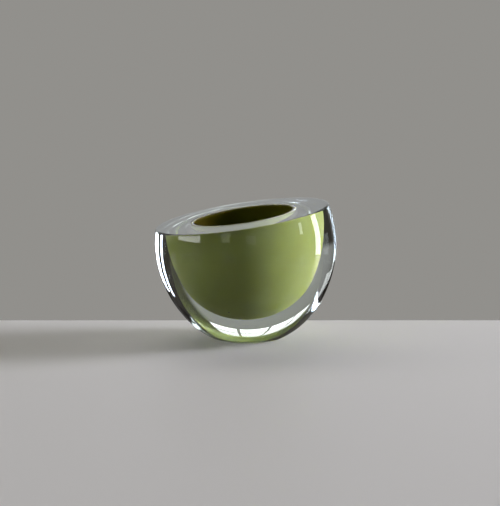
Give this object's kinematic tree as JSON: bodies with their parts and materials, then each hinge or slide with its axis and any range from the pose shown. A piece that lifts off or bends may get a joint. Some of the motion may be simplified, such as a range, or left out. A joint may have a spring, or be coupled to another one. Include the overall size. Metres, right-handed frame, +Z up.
{
  "type": "art glass bowl",
  "caption": "Heavy egg-shaped art glass bowl with a slanted polished rim, clear glass cast thick around an opaque green cup with an amber lining.",
  "frame": {"origin": "centre of the ground flat that the bowl stands on", "axes": "+Z up; +X towards the high side of the slanted rim; the XZ plane is the bowl's mirror plane"},
  "size_m": [0.1201, 0.12, 0.0908],
  "materials": {
    "clear_glass": "fire-polished clear crystal with a ground and polished rim and base",
    "green_glass": "opaque pistachio to olive green glass, fused into the clear casing",
    "amber_glass": "glossy dark olive-amber glass lining"
  },
  "bodies": {
    "root": {"clear_casing": "clear_glass", "green_layer": "green_glass", "amber_lining": "amber_glass"}
  },
  "joints": []
}
